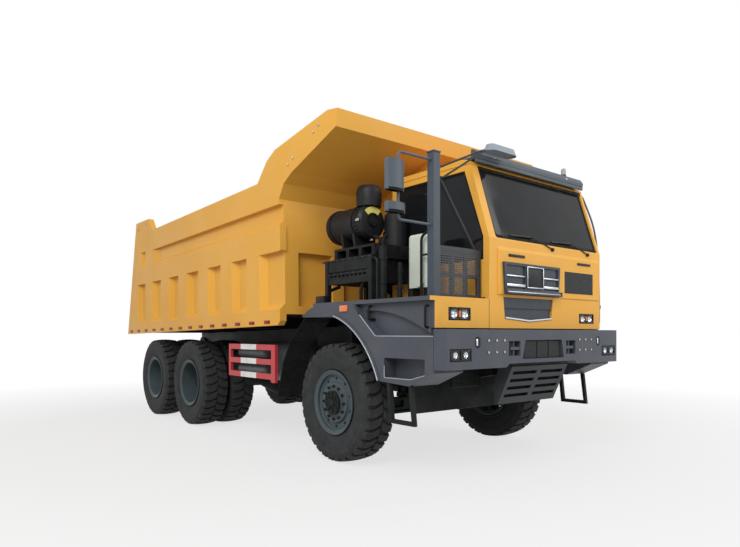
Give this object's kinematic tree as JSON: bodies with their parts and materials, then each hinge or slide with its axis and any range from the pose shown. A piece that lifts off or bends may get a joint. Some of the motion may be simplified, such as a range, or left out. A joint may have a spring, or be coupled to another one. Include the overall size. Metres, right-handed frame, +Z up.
{
  "type": "mining dump truck",
  "caption": "Rigid six-wheel mining dump truck with an offset cab, a ribbed steel bed under a canopy, a telescopic front hoist and a top-hung tailgate.",
  "frame": {"origin": "on the ground under the middle of the truck's bounding box", "axes": "+X forward, +Y to the driver's left, +Z up"},
  "size_m": [9.2116, 4.39, 4.2961],
  "materials": {
    "black_plastic": "textured black plastic",
    "black_rubber": "moulded rubber",
    "cast_iron": "black-painted casting",
    "chassis_black": "satin black chassis paint",
    "chrome": "hard chrome rod",
    "dark_grey_paint": "satin dark grey enamel",
    "glass": "tinted glass",
    "grey_paint": "satin blue-grey enamel",
    "grille_grey": "dark grey plastic",
    "guard_red": "red and white banded enamel",
    "lamp_lens": "clear lens",
    "rim_paint": "blue-grey rim enamel",
    "seat_fabric": "woven seat cloth",
    "tank_grey": "satin grey tank",
    "tank_white": "translucent pale plastic",
    "tyre": "rubber",
    "yellow_paint": "satin enamel"
  },
  "bodies": {
    "chassis": {"chassis_frame": "chassis_black", "front_axle": "cast_iron", "rear_axles": "cast_iron", "suspension": "chassis_black", "engine_block": "cast_iron", "front_bumper": "grey_paint", "lower_guard": "grey_paint", "fenders": "grey_paint", "step_ladders": "chassis_black", "mudguards": "black_rubber", "deck_platform": "yellow_paint", "deck_railing": "dark_grey_paint", "air_cleaner": "black_plastic", "equipment_stand": "chassis_black", "exhaust_muffler": "chassis_black", "header_tank": "tank_white", "mirrors": "grey_paint", "cab_shell": "yellow_paint", "cab_roof": "yellow_paint", "cab_front": "yellow_paint", "grille": "grille_grey", "cab_glass": "glass", "sun_visor": "grille_grey", "headlamps": "lamp_lens", "driver_seat": "seat_fabric", "dashboard": "black_plastic", "side_tanks": "tank_grey", "side_guards": "guard_red"},
    "bed": {"bed_floor": "yellow_paint", "bed_sides": "yellow_paint", "bed_front_wall": "yellow_paint", "bed_canopy": "yellow_paint"},
    "tailgate": {"tailgate": "yellow_paint"},
    "hoist_barrel": {"hoist_barrel": "chassis_black"},
    "hoist_stage_1": {"hoist_stage_1": "chrome"},
    "hoist_stage_2": {"hoist_stage_2": "chrome"},
    "hoist_stage_3": {"hoist_stage_3": "chrome"},
    "knuckle_left": {"knuckle_left": "cast_iron"},
    "knuckle_right": {"knuckle_right": "cast_iron"},
    "tie_rod": {"tie_rod": "cast_iron"},
    "cab_door": {"cab_door": "yellow_paint", "door_glass": "glass", "door_mirror": "grey_paint"},
    "wheel_front_left": {"front_left_tyre": "tyre", "front_left_rim": "rim_paint"},
    "wheel_front_right": {"front_right_tyre": "tyre", "front_right_rim": "rim_paint"},
    "wheel_mid_left": {"mid_left_tyres": "tyre", "mid_left_rims": "rim_paint"},
    "wheel_mid_right": {"mid_right_tyres": "tyre", "mid_right_rims": "rim_paint"},
    "wheel_rear_left": {"rear_left_tyres": "tyre", "rear_left_rims": "rim_paint"},
    "wheel_rear_right": {"rear_right_tyres": "tyre", "rear_right_rims": "rim_paint"}
  },
  "joints": [
    {"name": "bed_tilt", "type": "hinge", "parent": "chassis", "child": "bed", "pos_m": [-3.8745, 0, 1.42], "axis": [0, -1, 0], "range_deg": [0, 45]},
    {"name": "tailgate_swing", "type": "hinge", "parent": "bed", "child": "tailgate", "pos_m": [-3.95019, 0, 3.79899], "axis": [0, 1, 0], "range_deg": [0, 60]},
    {"name": "hoist_lean", "type": "hinge", "parent": "chassis", "child": "hoist_barrel", "pos_m": [2.0955, 0, 1.15], "axis": [0, -1, 0], "range_deg": [0, 27.85]},
    {"name": "hoist_slide_1", "type": "slide", "parent": "hoist_barrel", "child": "hoist_stage_1", "axis": [-0.0177, 0, 0.9998], "range_m": [0, 1.4966]},
    {"name": "hoist_slide_2", "type": "slide", "parent": "hoist_stage_1", "child": "hoist_stage_2", "axis": [-0.0177, 0, 0.9998], "range_m": [0, 1.4966]},
    {"name": "hoist_slide_3", "type": "slide", "parent": "hoist_stage_2", "child": "hoist_stage_3", "axis": [-0.0177, 0, 0.9998], "range_m": [0, 1.4966]},
    {"name": "steer_left", "type": "hinge", "parent": "chassis", "child": "knuckle_left", "pos_m": [2.6755, 1.12, 0.7465], "axis": [0, 0, 1], "range_deg": [-32, 32]},
    {"name": "steer_right", "type": "hinge", "parent": "chassis", "child": "knuckle_right", "pos_m": [2.6755, -1.12, 0.7465], "axis": [0, 0, 1], "range_deg": [-32.05, 32.05]},
    {"name": "tie_rod_slide", "type": "slide", "parent": "chassis", "child": "tie_rod", "axis": [0, 1, 0], "range_m": [-0.1335, 0.1335]},
    {"name": "door_swing", "type": "hinge", "parent": "chassis", "child": "cab_door", "pos_m": [4.1255, 1.575, 2.8], "axis": [0, 0, -1], "range_deg": [0, 70]},
    {"name": "front_left_spin", "type": "hinge", "parent": "knuckle_left", "child": "wheel_front_left", "pos_m": [2.6755, 1.475, 0.7465], "axis": [0, 1, 0], "continuous": true},
    {"name": "front_right_spin", "type": "hinge", "parent": "knuckle_right", "child": "wheel_front_right", "pos_m": [2.6755, -1.475, 0.7465], "axis": [0, 1, 0], "continuous": true},
    {"name": "mid_left_spin", "type": "hinge", "parent": "chassis", "child": "wheel_mid_left", "pos_m": [-1.4245, 1.395, 0.7465], "axis": [0, 1, 0], "continuous": true},
    {"name": "mid_right_spin", "type": "hinge", "parent": "chassis", "child": "wheel_mid_right", "pos_m": [-1.4245, -1.395, 0.7465], "axis": [0, 1, 0], "continuous": true},
    {"name": "rear_left_spin", "type": "hinge", "parent": "chassis", "child": "wheel_rear_left", "pos_m": [-3.1245, 1.395, 0.7465], "axis": [0, 1, 0], "continuous": true},
    {"name": "rear_right_spin", "type": "hinge", "parent": "chassis", "child": "wheel_rear_right", "pos_m": [-3.1245, -1.395, 0.7465], "axis": [0, 1, 0], "continuous": true}
  ],
  "couplings": [
    {"joint": "hoist_lean", "follows": "bed_tilt", "ratio": 0.6177},
    {"joint": "hoist_slide_1", "follows": "bed_tilt", "m_per_rad": 1.9043},
    {"joint": "hoist_slide_2", "follows": "bed_tilt", "m_per_rad": 1.9043},
    {"joint": "hoist_slide_3", "follows": "bed_tilt", "m_per_rad": 1.9043},
    {"joint": "steer_right", "follows": "steer_left", "ratio": 1},
    {"joint": "tie_rod_slide", "follows": "steer_left", "m_per_rad": -0.2372}
  ]
}
